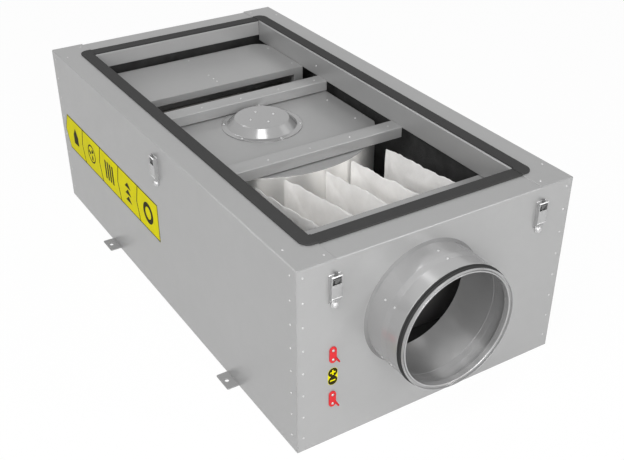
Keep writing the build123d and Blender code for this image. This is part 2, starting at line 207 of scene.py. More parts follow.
# Noise in the fleece: waves of its free edge as depth, turns along it and layer,
# and folds as depth, turns along, turns up and layer
EDGE_WAVES = ((5.2, 6.5, 0.3), (2.6, 19.0, 4.3))
SLACK_FOLDS = ((4.6, 3.6, 1.5, 3.1), (1.8, 10.0, 5.0, 5.7), (0.5, 34.0, 30.0, 2.2))
PLEAT_DEPTH = 2.4
PLEAT_TURNS = 55.0
PLEAT_LEAN = 1.5
PLEAT_FADE = 12.0

# Thickness of the fleece at its free edge, and its gain with each row below, as shares of the whole
EDGE_SHARE = 0.3
ROW_SHARE = 0.2

# Settling of the fleece
CLOTH_STIFFNESS = 60
DRAPE_FRAMES = 20
DRAPE_LIMIT = 1.2

# Camera, fitted to the photograph: degrees, metres and millimetres of lens and sensor
CAMERA_PLACE = (-0.963244, -1.677036, 1.260127)
CAMERA_TURN = -32.0181
CAMERA_TILT = 33.4243
CAMERA_LENS = 55.554
CAMERA_SENSOR = 36.0
CAMERA_SHIFT = 0.0558

# Studio: strength of the world, share of plain white in the floor, and half the floor's side
AMBIENT = 0.26
FLOOR_WHITE = 0.96
FLOOR_HALF = 9.0

# Square lamps: name, place, target, side and power in watts
LAMPS = (
    ("front", (-0.95, -3.1, 1.2), (0, 0, 0.2), 1.8, 71),
    ("left", (-2.6, -1.2, 2.3), (0, 0, 0.2), 1.8, 36),
    ("right", (2.7, -1.0, 2.2), (0, 0, 0.2), 1.5, 4),
    ("overhead", (-0.75, -1.17, 2.55), (0, 0.07, 0.32), 1.0, 17),
    ("front_folds", (1.6, -2.7, 1.8), (0, 0, 0.3), 0.5, 16),
    ("high_streak", (-0.2, 1.9, 2.7), (0, 0, 0.3), 0.45, 8),
    ("low_streak", (-2.4, 1.9, 1.0), (0, 0, 0.3), 0.45, 8),
)


def shaded(name):
    """New material, its node tree and its surface shader."""
    material = bpy.data.materials.new(name)
    material.use_nodes = True
    tree = material.node_tree
    shader = tree.nodes["Principled BSDF"]
    return material, tree, shader


def coordinates(tree, stretch=(1, 1, 1)):
    """Object coordinates in metres, stretched where a grain runs one way."""
    source = tree.nodes.new("ShaderNodeTexCoord")
    mapping = tree.nodes.new("ShaderNodeMapping")
    mapping.inputs["Scale"].default_value = stretch
    tree.links.new(source.outputs["Object"], mapping.inputs["Vector"])
    return mapping.outputs["Vector"]


def noise_texture(tree, where, scale, detail=3.0, roughness=0.5):
    node = tree.nodes.new("ShaderNodeTexNoise")
    node.inputs["Scale"].default_value = scale
    node.inputs["Detail"].default_value = detail
    node.inputs["Roughness"].default_value = roughness
    tree.links.new(where, node.inputs["Vector"])
    return node.outputs["Fac"]


def cell_texture(tree, where, scale):
    node = tree.nodes.new("ShaderNodeTexVoronoi")
    node.inputs["Scale"].default_value = scale
    tree.links.new(where, node.inputs["Vector"])
    return node


def colour_ramp(tree, value, stops):
    node = tree.nodes.new("ShaderNodeValToRGB")
    ramp = node.color_ramp
    ramp.elements[0].position, ramp.elements[0].color = stops[0][0], (*stops[0][1], 1)
    ramp.elements[1].position, ramp.elements[1].color = stops[-1][0], (*stops[-1][1], 1)
    for place, colour in stops[1:-1]:
        ramp.elements.new(place).color = (*colour, 1)
    tree.links.new(value, node.inputs["Fac"])
    return node.outputs["Color"]


def grey(value):
    return (value, value, value)


def tinted(colour, factor):
    return tuple(min(1.0, c * factor) for c in colour)


def clouded(tree, value, colour, low, high, start=0.3, end=0.7):
    """The colour times low to high, as the value runs from start to end."""
    return colour_ramp(tree, value, [(start, tinted(colour, low)), (end, tinted(colour, high))])


def ranged(tree, value, low, high, start=0.3, end=0.7):
    """A number from low to high, as the value runs from start to end."""
    node = tree.nodes.new("ShaderNodeMapRange")
    node.inputs["From Min"].default_value = start
    node.inputs["From Max"].default_value = end
    node.inputs["To Min"].default_value = low
    node.inputs["To Max"].default_value = high
    tree.links.new(value, node.inputs["Value"])
    return node.outputs["Result"]


def worn_edge(tree, radius):
    """Shading normal that rounds a sheet's sharp edges."""
    node = tree.nodes.new("ShaderNodeBevel")
    node.samples = 4
    node.inputs["Radius"].default_value = radius
    return node.outputs["Normal"]


def bump(tree, shader, heights):
    """Stacks bumps: each is a height, its depth in metres and its strength."""
    before = None
    for height, distance, strength in heights:
        node = tree.nodes.new("ShaderNodeBump")
        node.inputs["Strength"].default_value = strength
        node.inputs["Distance"].default_value = distance
        tree.links.new(height, node.inputs["Height"])
        if before:
            tree.links.new(before, node.inputs["Normal"])
        before = node.outputs["Normal"]
    tree.links.new(before, shader.inputs["Normal"])


# The metals' roughness stays clear of about 0.27, where the render's denoiser leaves specks.
def sheet_metal(name, colour, metallic=0.27, rough=(0.30, 0.34), spangle=0.006, edge=0.0010):
    """Zinc-coated sheet: faint crystals, a soft cloudiness and smooth or dull patches."""
    material, tree, shader = shaded(name)
    where = coordinates(tree)
    cloud = noise_texture(tree, where, scale=5.0, detail=4.0)
    split = tree.nodes.new("ShaderNodeSeparateColor")
    tree.links.new(cell_texture(tree, where, scale=75.0).outputs["Color"], split.inputs["Color"])
    crystal = colour_ramp(tree, split.outputs["Red"], [(0.0, grey(1 - spangle)), (1.0, grey(1 + spangle))])
    both = tree.nodes.new("ShaderNodeMix")
    both.data_type, both.blend_type = "RGBA", "MULTIPLY"
    both.inputs["Factor"].default_value = 1.0
    tree.links.new(clouded(tree, cloud, colour, 0.985, 1.015), both.inputs["A"])
    tree.links.new(crystal, both.inputs["B"])
    tree.links.new(both.outputs["Result"], shader.inputs["Base Color"])
    smudge = noise_texture(tree, where, scale=22.0, detail=5.0, roughness=0.6)
    tree.links.new(ranged(tree, smudge, *rough), shader.inputs["Roughness"])
    shader.inputs["Metallic"].default_value = metallic
    tree.links.new(worn_edge(tree, edge), shader.inputs["Normal"])
    return material


def turned_steel(name, colour, metallic=0.45, rough=(0.20, 0.24), edge=0.0004):
    """Rolled or spun steel, with finer edges and crystals than the flat sheets."""
    return sheet_metal(name, colour, metallic, rough, 0.003, edge)


def rubber(name, colour, rough=(0.62, 0.74), depth=0.0002):
    """Dull rubber with a fine skin."""
    material, tree, shader = shaded(name)
    where = coordinates(tree)
    cloud = noise_texture(tree, where, scale=14.0, detail=4.0)
    tree.links.new(clouded(tree, cloud, colour, 0.88, 1.12), shader.inputs["Base Color"])
    tree.links.new(ranged(tree, cloud, *rough), shader.inputs["Roughness"])
    shader.inputs["Specular IOR Level"].default_value = 0.2
    bump(tree, shader, [(noise_texture(tree, where, scale=1400.0), depth, 0.35)])
    return material


def open_foam(name, colour):
    """Black open-cell foam: pores of about a millimetre and a soft unevenness."""
    material, tree, shader = shaded(name)
    where = coordinates(tree)
    pores = cell_texture(tree, where, scale=620.0)
    cloud = noise_texture(tree, where, scale=30.0, detail=5.0)
    tree.links.new(clouded(tree, cloud, colour, 0.75, 1.25, 0.25, 0.75), shader.inputs["Base Color"])
    shader.inputs["Roughness"].default_value = 0.92
    shader.inputs["Specular IOR Level"].default_value = 0.2
    bump(tree, shader, [(cloud, 0.0015, 0.4), (pores.outputs["Distance"], 0.0008, 0.8)])
    return material


def filter_fleece(name, colour):
    """Needled white fleece: fine fibres, cloudy thickness and a faint sheen."""
    material, tree, shader = shaded(name)
    cloud = noise_texture(tree, coordinates(tree), scale=26.0, detail=6.0, roughness=0.6)
    stops = [(0.25, tinted(colour, 0.9)), (0.6, colour), (0.85, tinted(colour, 1.05))]
    tree.links.new(colour_ramp(tree, cloud, stops), shader.inputs["Base Color"])
    shader.inputs["Roughness"].default_value = 0.9
    shader.inputs["Specular IOR Level"].default_value = 0.2
    shader.inputs["Sheen Weight"].default_value = 0.3
    shader.inputs["Sheen Roughness"].default_value = 0.6
    shader.inputs["Subsurface Weight"].default_value = 0.7
    shader.inputs["Subsurface Radius"].default_value = (1.0, 1.0, 1.0)
    shader.inputs["Subsurface Scale"].default_value = 0.006
    heights = [(cloud, 0.002, 0.35)]
    for stretch in ((1.0, 0.12, 1.0), (1.0, 1.0, 0.12)):
        fibres = noise_texture(tree, coordinates(tree, stretch), scale=900.0, detail=4.0, roughness=0.65)
        heights.append((fibres, 0.0006, 0.4))
    bump(tree, shader, heights)
    return material


def plastic(name, colour, rough=(0.34, 0.46), depth=0.0001):
    """Moulded plastic or printed film."""
    material, tree, shader = shaded(name)
    where = coordinates(tree)
    cloud = noise_texture(tree, where, scale=40.0)
    tree.links.new(clouded(tree, cloud, colour, 0.95, 1.04), shader.inputs["Base Color"])
    tree.links.new(ranged(tree, cloud, *rough), shader.inputs["Roughness"])
    shader.inputs["Specular IOR Level"].default_value = 0.01
    bump(tree, shader, [(noise_texture(tree, where, scale=1500.0, detail=2.0), depth, 0.25)])
    return material


def slot_materials():
    """One material for each slot of the record."""
    return {
        "galvanised_sheet": sheet_metal("galvanised_sheet", grey(0.33)),
        "spigot_steel": turned_steel("spigot_steel", grey(0.375)),
        "catch_steel": turned_steel("catch_steel", grey(0.37), edge=0.0012),
        "element_steel": turned_steel("element_steel", (0.2, 0.19, 0.18), metallic=0.8, rough=(0.4, 0.55)),
        "gasket_foam": rubber("gasket_foam", grey(0.039), rough=(0.75, 0.85), depth=0.0003),
        "acoustic_foam": open_foam("acoustic_foam", grey(0.06)),
        "seal_rubber": rubber("seal_rubber", grey(0.022)),
        "filter_fleece": filter_fleece("filter_fleece", (0.90, 0.885, 0.865)),
        "red_plastic": plastic("red_plastic", (0.55, 0.035, 0.04)),
    }


def piece(name, bm, material, smooth=True):
    """Turns a bmesh in millimetres into an object that rides on the casing."""
    bmesh.ops.recalc_face_normals(bm, faces=bm.faces)
    mesh = bpy.data.meshes.new(name)
    for vertex in bm.verts:
        vertex.co *= MM
    bm.to_mesh(mesh)
    bm.free()
    for polygon in mesh.polygons:
        polygon.use_smooth = smooth
    if smooth:
        mesh.set_sharp_from_angle(angle=SHARP_ANGLE)
    mesh.materials.append(material)
    made = bpy.data.objects.new(name, mesh)
    bpy.context.collection.objects.link(made)
    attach(made, "root")
    return made


def upright(normal):
    """Rotation that turns local Z to the given direction."""
    return Vector(normal).to_track_quat("Z", "Y").to_matrix().to_4x4()


def turned(position, turn, axis="Z"):
    """Frame at a position, turned about one axis."""
    return Matrix.Translation(position) @ Matrix.Rotation(turn, 4, axis)


def skin(bm, rings, closed=True):
    """Faces between neighbouring rings of as many points; closed joins the last ring to the first."""
    following = rings[1:] + rings[:1] if closed else rings[1:]
    for a, b in zip(rings, following):
        for k in range(len(a)):
            n = (k + 1) % len(a)
            bm.faces.new((a[k], b[k], b[n], a[n]))


def spun(bm, profile, place, segments=12, closed=False):
    """Spins (radius, height) points about local Z and puts the result in place."""
    rings = []
    for radius, height in profile:
        if radius == 0:
            rings.append([bm.verts.new(place @ Vector((0, 0, height)))])
            continue
        ring = []
        for k in range(segments):
            turn = math.tau * k / segments
            spot = Vector((radius * math.cos(turn), radius * math.sin(turn), height))
            ring.append(bm.verts.new(place @ spot))
        rings.append(ring)
    pairs = list(zip(rings, rings[1:]))
    if closed:
        pairs.append((rings[-1], rings[0]))
    for low, high in pairs:
        for k in range(segments):
            n = (k + 1) % segments
            corners = [low[k % len(low)], low[n % len(low)], high[n % len(high)], high[k % len(high)]]
            bm.faces.new(list(dict.fromkeys(corners)))


def fixings(name, profile, spots, material, segments=12):
    """One piece of like fixings; each spot is a position and the way it faces."""
    bm = bmesh.new()
    for position, normal in spots:
        spun(bm, profile, Matrix.Translation(position) @ upright(normal), segments)
    return piece(name, bm, material)


def mirrored_spots(spots, x=False, y=False):
    """The spots and their mirror images across the casing or along it."""
    out = list(spots)
    if x:
        out += [((-p[0], p[1], p[2]), (-n[0], n[1], n[2])) for p, n in out]
    if y:
        out += [((p[0], -p[1], p[2]), (n[0], -n[1], n[2])) for p, n in out]
    return out


def casing_rivets(material):
    """Rows up the corners of the four walls, pairs at the corners of the top, and one on each side lip."""
    ends = [((END_RIVET_X, HALF_LENGTH, z), (0, 1, 0)) for z in RIVET_HEIGHTS]
    sides = [((HALF_WIDTH, SIDE_RIVET_Y, z), (1, 0, 0)) for z in RIVET_HEIGHTS]
    top = [((x, y, HEIGHT), UP) for x, y in TOP_RIVETS]
    lip = [(LIP_RIVET, (-1, 0, 0))]
    fixings("end_rivets", RIVET, mirrored_spots(ends, x=True, y=True), material)
    fixings("side_rivets", RIVET, mirrored_spots(sides, x=True, y=True), material)
    fixings("top_rivets", RIVET, mirrored_spots(top, x=True, y=True), material)
    fixings("lip_rivets", RIVET, mirrored_spots(lip, x=True), material)


def inner_rivets(material):
    """Rivets of the rails, the fan box, its round cover and the heater."""
    rails = [((x, REAR_RAIL_RIVET_Y, RAIL_TOP), UP) for x in RAIL_RIVET_XS]
    rails += [((x, FRONT_RAIL_RIVET_Y, RAIL_TOP), UP) for x in RAIL_RIVET_XS]
    rails += [(RAIL_LEG_RIVET, (0, -1, 0))]
    cover = [((x, y, FAN_TOP), UP) for x, y in COVER_RIVETS]
    heater = [((x, y, HEATER_TOP), UP) for x, y in HEATER_RIVETS]
    flange = []
    for turn in SIXTHS:
        y = DOME_Y + FLANGE_SCREW_RADIUS * math.sin(turn)
        if y < REAR_RAIL_Y - RAIL_CLEARANCE:
            flange.append(((FLANGE_SCREW_RADIUS * math.cos(turn), y, FLANGE_SCREW_Z), UP))
    crown = [((x, DOME_Y + y, DOME_TOP), UP) for x, y in CROWN_SCREWS]
    fixings("rail_rivets", RIVET, rails, material)
    fixings("fan_cover_rivets", RIVET, cover, material)
    fixings("heater_rivets", RIVET, heater, material)
    fixings("motor_cover_screws", SMALL_SCREW, flange + crown, material)


def spigot_rivets(material):
    """Pairs of rivets every sixth of a turn, one through the collar and one through the tube."""
    spots = []
    for _, side, (x, height) in DUCT_ENDS:
        for reach, radius in SPIGOT_RIVETS:
            for turn in SIXTHS:
                out = Vector((math.cos(turn), 0, math.sin(turn)))
                place = Vector((x, side * (HALF_LENGTH + reach), height)) + out * radius
                spots.append((tuple(place), tuple(out)))
    fixings("spigot_rivets", RIVET, spots, material)


def duct_ring(name, side, axis, outlines, material):
    """Rings about a duct's axis, from closed outlines of (radius, distance from the casing's middle)."""
    place = turned((axis[0], 0, axis[1]), -side * math.pi / 2, "X")
    bm = bmesh.new()
    for outline in outlines:
        spun(bm, outline, place, ROUND_SEGMENTS, closed=True)
    return piece(name, bm, material)


def from_wall(points, radius):
    """Outline for a duct ring from points given as (out of the radius, out of the wall)."""
    return [(radius + out, HALF_LENGTH + reach) for out, reach in points]


def collar_seams(material):
    """Rolled seam that closes the step from each collar to its tube."""
    outside = [(-0.6, 44.5), (1.1, 45.5), (0.9, 48.0), (0.5, 53.0), (0.05, 58.0), (-0.6, 58.0)]
    inside = [(-1.75, 30.0), (-0.6, 30.0), (-0.6, 64.0), (-1.05, 64.0), (-1.4, 47.0)]
    outlines = [from_wall(points, TUBE_RADIUS) for points in (outside, inside)]
    for end, side, axis in DUCT_ENDS:
        duct_ring(f"{end}_seam", side, axis, outlines, material)


def collar_roots(material):
    """Darker ring round each collar where it meets the wall: painted shade for the contact shadow at its
    root.
    """
    bead = [(-0.6, -0.4), (5.0, -0.4), (4.2, 0.3), (2.8, 1.2), (1.4, 2.5), (0.5, 4.4), (-0.6, 5.2)]
    for end, side, axis in DUCT_ENDS:
        duct_ring(f"{end}_painted_shade_bead", side, axis, [from_wall(bead, COLLAR_RADIUS)], material)


def duct_seals(material):
    """Double-lipped rubber rings in the grooves."""
    start, end = SEAL_SPAN
    outline = [(GROOVE_FLOOR, start), (121.6, start), (124.0, start + 0.2), (125.0, start + 0.9),
               (124.9, start + 1.9), (123.6, start + 2.9), (121.9, start + 3.7), (121.7, start + 4.4),
               (122.9, start + 5.0), (124.1, start + 5.6), (124.3, start + 6.5), (123.4, start + 7.5),
               (121.9, start + 8.4), (121.3, end), (GROOVE_FLOOR, end)]
    for duct, side, axis in DUCT_ENDS:
        name = f"{duct}_seal"
        ring = duct_ring(f"{name}_ring", side, axis, [outline], material)
        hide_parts(name)


def catch_frames():
    """Frames of the six catches: local X across, Y out of the wall, Z up."""
    frames = []
    for side in (-1, 1):
        frames.append(turned((side * CATCH_X, HALF_LENGTH, 0), 0))
        frames.append(turned((side * CATCH_X, -HALF_LENGTH, 0), math.pi))
        frames.append(turned((side * HALF_WIDTH, CATCH_Y, 0), -side * math.pi / 2))
    return frames


def catch_screws(material):
    """Dome screw under each catch."""
    spots = []
    for frame in catch_frames():
        position = frame @ Vector((0, CATCH_SHEET, CATCH_SCREW_Z))
        normal = frame.to_3x3() @ Vector((0, 1, 0))
        spots.append((tuple(position), tuple(normal)))
    fixings("catch_screws", DOME_SCREW, spots, material, 24)


def catch_folds(material):
    """Rounded folds of each catch: the plate's top edge, the cover's top edge and its lower bend, in a far
    lighter steel than the catch as painted highlights.
    """
    bm = bmesh.new()
    for frame in catch_frames():
        for reach, z, radius, half in CATCH_FOLDS:
            end = [(0, -half), (0.6 * radius, -half), (radius, 0.4 * radius - half)]
            profile = end + [(r, -x) for r, x in end[::-1]]
            spun(bm, profile, frame @ turned((0, reach, z), math.pi / 2, "Y"))
    piece("catch_folds", bm, material)


def tap_screws(material):
    """Two screws in each pressure tap."""
    heights = [z + step for z in TAP_HEIGHTS for step in (-TAP_SCREW_STEP, TAP_SCREW_STEP)]
    spots = [((TAP_X, -HALF_LENGTH - TAP_SHEET, z), (0, -1, 0)) for z in heights]
    fixings("tap_screws", SMALL_SCREW, spots, material)


def plate(bm, outline, place, film, hole=None):
    """Flat film: an outline in the plane of the frame, raised between two heights."""
    low, high = film
    edges = []
    for loop in [outline, hole] if hole else [outline]:
        ring = [bm.verts.new((x, y, high)) for x, y in loop]
        edges += [bm.edges.new((a, b)) for a, b in zip(ring, ring[1:] + ring[:1])]
    filled = bmesh.ops.triangle_fill(bm, use_beauty=True, use_dissolve=False, edges=edges)
    faces = [f for f in filled["geom"] if isinstance(f, bmesh.types.BMFace)]
    raised = bmesh.ops.extrude_face_region(bm, geom=faces)
    for vertex in (v for v in raised["geom"] if isinstance(v, bmesh.types.BMVert)):
        vertex.co.z = low
    # A tag marks the points that an earlier call has already put in place.
    bmesh.ops.transform(bm, matrix=place, verts=[v for v in bm.verts if not v.tag])
    for vertex in bm.verts:
        vertex.tag = True


def circle(cx, cy, radius, count=40):
    turns = [math.tau * k / count for k in range(count)]
    return [(cx + radius * math.cos(t), cy + radius * math.sin(t)) for t in turns]


def bar(x0, y0, x1, y1):
    return [(x0, y0), (x1, y0), (x1, y1), (x0, y1)]


def line_strip(points, width):
    """Outline of a bent line of even width."""
    left, right = [], []
    for k, (x, y) in enumerate(points):
        ahead = points[min(k + 1, len(points) - 1)]
        behind = points[max(k - 1, 0)]
        d = Vector((ahead[0] - behind[0], ahead[1] - behind[1])).normalized()
        left.append((x - d.y * width / 2, y + d.x * width / 2))
        right.append((x + d.y * width / 2, y - d.x * width / 2))
    return left + right[::-1]


def side_frame():
    """Frame on the left wall, as read from outside: local X toward the inlet end, Y up."""
    columns = Matrix(((0, 0, -1), (-1, 0, 0), (0, 1, 0))).to_4x4()
    return Matrix.Translation((-HALF_WIDTH, 0, 0)) @ columns


def function_strip(yellow, ink):
    """Yellow arrow-shaped strip with one plain symbol for each stage of the unit."""
    place = side_frame()
    outline = [(STRIP_FAR, STRIP_LOW), (STRIP_TIP, STRIP_MIDDLE), (STRIP_FAR, STRIP_HIGH),
               (STRIP_NEAR, STRIP_HIGH), (STRIP_NEAR, STRIP_LOW)]
    bm = bmesh.new()
    plate(bm, outline, place, FILM)
    piece("function_strip", bm, yellow, False)
    low, high = STRIP_LOW + STRIP_RIM, STRIP_HIGH - STRIP_RIM
    near, far, tip = STRIP_NEAR - STRIP_RIM, STRIP_FAR + 0.6, STRIP_TIP + 2.2
    inner = [(near, low), (near, high), (far, high), (tip, STRIP_MIDDLE), (far, low)]
    bm = bmesh.new()
    plate(bm, outline, place, PRINT, inner)
    for x in DIVIDERS:
        points = [(x, STRIP_HIGH), (x - DIVIDER_POINT, STRIP_MIDDLE), (x, STRIP_LOW)]
        plate(bm, line_strip(points, DIVIDER_WIDTH), place, PRINT)
    symbols(bm, place, STRIP_MIDDLE)
    piece("function_symbols", bm, ink, False)


def symbols(bm, place, middle):
    """House, rotor, coil, pleated filter and damper ring, from the far end to the near end."""
    house, rotor, coil, pleats, ring = SYMBOL_XS
    left, right, foot, eaves = house - 15, house + 15, middle - 20, middle + 4
    walls = [(left, foot), (right, foot), (right, eaves), (house, middle + 24), (left, eaves)]
    plate(bm, walls, place, PRINT)
    plate(bm, circle(rotor, middle, 24), place, PRINT, circle(rotor, middle, 20))
    blade = [(4, 0.2), (16, 0.1), (17, 0.55), (11, 1.05), (4, 1.1)]
    for k in range(3):
        turn = math.tau * k / 3 + 0.4
        points = [(rotor + r * math.cos(turn + a), middle + r * math.sin(turn + a)) for r, a in blade]
        plate(bm, points, place, PRINT)
    for x in (coil - 21, coil - 7, coil + 7, coil + 21):
        plate(bm, bar(x - 4, middle - 24, x + 4, middle + 24), place, PRINT)
    for z in (middle - 25, middle - 7, middle + 11):
        plate(bm, [(pleats - 17, z), (pleats + 17, z), (pleats, z + 14)], place, PRINT)
    plate(bm, circle(ring, middle, 26), place, PRINT, circle(ring, middle, 15))


def polarity_sticker(yellow, ink):
    """Capsule with a plus disc over a minus disc, between the pressure taps."""
    place = turned(STICKER_PLACE, math.pi / 2, "X")
    cap = [(x, y) for x, y in circle(0, DISC_STEP, STICKER_RADIUS) if y >= DISC_STEP - 0.1]
    bm = bmesh.new()
    plate(bm, cap + [(-x, -y) for x, y in cap], place, FILM)
    piece("polarity_sticker", bm, yellow, False)
    bm = bmesh.new()
    for y, radius, film in DISCS:
        plate(bm, circle(0, y, radius), place, film)
    piece("polarity_discs", bm, ink, False)
    a, b = SIGN_HALF_WIDTH, SIGN_HALF
    cross = [(-a, -b), (a, -b), (a, -a), (b, -a), (b, a), (a, a), (a, b), (-a, b), (-a, a), (-b, a), (-b, -a),
             (-a, -a)]
    bm = bmesh.new()
    plate(bm, [(x, DISC_STEP + y) for x, y in cross], place, SIGN)
    plate(bm, bar(-b, -DISC_STEP - a, b, -DISC_STEP + a), place, SIGN)
    piece("polarity_signs", bm, yellow, False)


def free_edge(u, seed):
    """Height of a sheet's torn top edge; u runs from 0 at the header plate to 1 at the fan box."""
    wave = sum(depth * noise.noise(Vector((u * turns, seed, layer))) for depth, turns, layer in EDGE_WAVES)
    fall = (FLEECE_REAR_TOP - FLEECE_FRONT_TOP) * u
    return FLEECE_FRONT_TOP + fall - EDGE_DROP + wave * min(1, 8 * (1 - u))


def fold_depth(u, v, seed):
    """How far a sheet's slack folds, and its close pleats near the fan box, stand out of its plane."""
    fold = sum(depth * noise.noise(Vector((u * along, v * up, seed * layer)))
               for depth, along, up, layer in SLACK_FOLDS)
    pleats = math.sin(u * PLEAT_TURNS + PLEAT_LEAN * v + seed)
    return fold + PLEAT_DEPTH * pleats * math.exp(-PLEAT_FADE * (1 - u))


def fleece_grid(name, front, rear, seed, columns=56, rows=40):
    """Upright sheet of cloth from the header plate to the fan box, with a torn, wavy free edge."""
    bm = bmesh.new()
    grid = []
    across = Vector((rear[1] - front[1], front[0] - rear[0], 0)).normalized()
    for i in range(columns + 1):
        u = i / columns
        x, y = front[0] + (rear[0] - front[0]) * u, front[1] + (rear[1] - front[1]) * u
        rise = free_edge(u, seed) - FLEECE_BOTTOM
        column = []
        for j in range(rows + 1):
            v = (j / rows) ** 0.8
            ease = math.sin(math.pi * u) ** 0.3 * min(1, v * 3)
            point = Vector((x, y, FLEECE_BOTTOM + rise * v)) + across * fold_depth(u, v, seed) * ease
            column.append(bm.verts.new(point * MM))
        grid.append(column)
    for a, b in zip(grid, grid[1:]):
        for j in range(rows):
            bm.faces.new((a[j], b[j], b[j + 1], a[j + 1]))
    mesh = bpy.data.meshes.new(name)
    bm.to_mesh(mesh)
    bm.free()
    made = bpy.data.objects.new(name, mesh)
    bpy.context.collection.objects.link(made)
    group_points(made, columns, rows)
    return made


def group_points(made, columns, rows):
    """Groups a sheet's points: held is its ends and foot, body its thickness as a share."""
    per = rows + 1
    held = made.vertex_groups.new(name="held")
    fixed = [i * per + j for i in range(columns + 1) for j in range(per) if i in (0, columns) or j == 0]
    held.add(fixed, 1.0, "REPLACE")
    body = made.vertex_groups.new(name="body")
    for j in range(per):
        row = [i * per + j for i in range(columns + 1)]
        body.add(row, min(1.0, EDGE_SHARE + ROW_SHARE * (rows - j)), "REPLACE")


def drape(sheets):
    """Lets the slack fleece settle between its fixed edges, all sheets in one run."""
    start = {}
    for made in sheets:
        cloth = made.modifiers.new("slack", "CLOTH")
        cloth.settings.quality = 6
        cloth.settings.mass = 0.05
        cloth.settings.tension_stiffness = CLOTH_STIFFNESS
        cloth.settings.compression_stiffness = CLOTH_STIFFNESS
        cloth.settings.shear_stiffness = CLOTH_STIFFNESS
        cloth.settings.bending_stiffness = 12.0
        cloth.settings.vertex_group_mass = "held"
        cloth.settings.shrink_min = -0.003
        start[made] = [v.co.copy() for v in made.data.vertices]
    scene = bpy.context.scene
    for frame in range(1, DRAPE_FRAMES + 1):
        scene.frame_set(frame)
    for made in sheets:
        settled = made.evaluated_get(bpy.context.evaluated_depsgraph_get())
        places = [v.co.copy() for v in settled.data.vertices]
        made.modifiers.clear()
        for vertex, before, after in zip(made.data.vertices, start[made], places):
            move = after - before
            if move.length > DRAPE_LIMIT * MM:
                move = move.normalized() * DRAPE_LIMIT * MM
            vertex.co = before + move
    scene.frame_set(1)


def thicken(made, material):
    """Gives the settled sheet its thickness and soft edges."""
    bpy.context.view_layer.objects.active = made
    solid = made.modifiers.new("thick", "SOLIDIFY")
    solid.thickness = FLEECE_THICKNESS * MM
    solid.offset = 0
    solid.vertex_group = "body"
    smooth = made.modifiers.new("soft", "SUBSURF")
    smooth.levels = smooth.render_levels = 1
    settled = bpy.data.meshes.new_from_object(made.evaluated_get(bpy.context.evaluated_depsgraph_get()))
    made.modifiers.clear()
    made.data = settled
    made.vertex_groups.clear()
    for polygon in settled.polygons:
        polygon.use_smooth = True
    settled.materials.clear()
    settled.materials.append(material)


def filter_bags(material):
    """Five upright sheets, each of which stands for its CAD solid."""
    sheets = []
    for n, (front, rear) in enumerate(zip(FLEECE_FRONT, FLEECE_REAR), 1):
        sheets.append(fleece_grid(f"fleece_sheet_{n}", front, rear, n * FLEECE_SEED))
    drape(sheets)
    for n, (made, front, rear) in enumerate(zip(sheets, FLEECE_FRONT, FLEECE_REAR), 1):
        thicken(made, material)
        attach(made, "root")
        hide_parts(f"filter_fleece_{n}")


def run_of(low, high, radius, step):
    """Grid lines along one side of a slab, closer together at its rounded ends."""
    near = [low + radius * k / 3 for k in range(4)]
    far = [high - radius * k / 3 for k in range(3, -1, -1)]
    count = max(1, round((high - low - 2 * radius) / step))
    inner = [near[-1] + (far[0] - near[-1]) * k / count for k in range(1, count)]
    return near + inner + far


def rounded(point, low, high, radius):
    """Moves a point of a block's surface onto the same block with rounded edges."""
    inner = Vector([min(max(c, a + radius), b - radius) for c, a, b in zip(point, low, high)])
    away = point - inner
    return inner + away.normalized() * radius if away.length > 0 else point


def uneven(point, depth=0.6):
    """Faint dents of cut foam, never proud of its block."""
    dent = 0.5 + 0.6 * noise.noise(point * 0.012) + 0.3 * noise.noise(point * 0.03)
    return depth * min(1.0, max(0.0, dent))


def eased(place, low, high, axes, radius, reach=14.0):
    """0 at a slab's rounded edges, 1 further in than the reach."""
    inside = min(min(place[k] - low[k], high[k] - place[k]) for k in axes)
    return min(1.0, max(0.0, (inside - radius) / reach))


def foam_slab(name, low, high, material, node, step=16.0):
    """Cut foam slab with soft edges."""
    bm = bmesh.new()
    runs = [run_of(a, b, FOAM_ROUND, step) for a, b in zip(low, high)]
    for axis in range(3):
        u_axis, v_axis = [k for k in range(3) if k != axis]
        for side in (low[axis], high[axis]):
            rows = []
            for u in runs[u_axis]:
                row = []
                for v in runs[v_axis]:
                    place = [0.0, 0.0, 0.0]
                    place[axis], place[u_axis], place[v_axis] = side, u, v
                    point = rounded(Vector(place), low, high, FOAM_ROUND)
                    dent = uneven(point) * eased(place, low, high, (u_axis, v_axis), FOAM_ROUND)
                    point[axis] += dent if side == low[axis] else -dent
                    row.append(bm.verts.new(point))
                rows.append(row)
            for a, b in zip(rows, rows[1:]):
                for k in range(len(a) - 1):
                    bm.faces.new((a[k], b[k], b[k + 1], a[k + 1]))
    bmesh.ops.remove_doubles(bm, verts=bm.verts, dist=0.05)
    made = piece(name, bm, material)
    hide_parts(node)


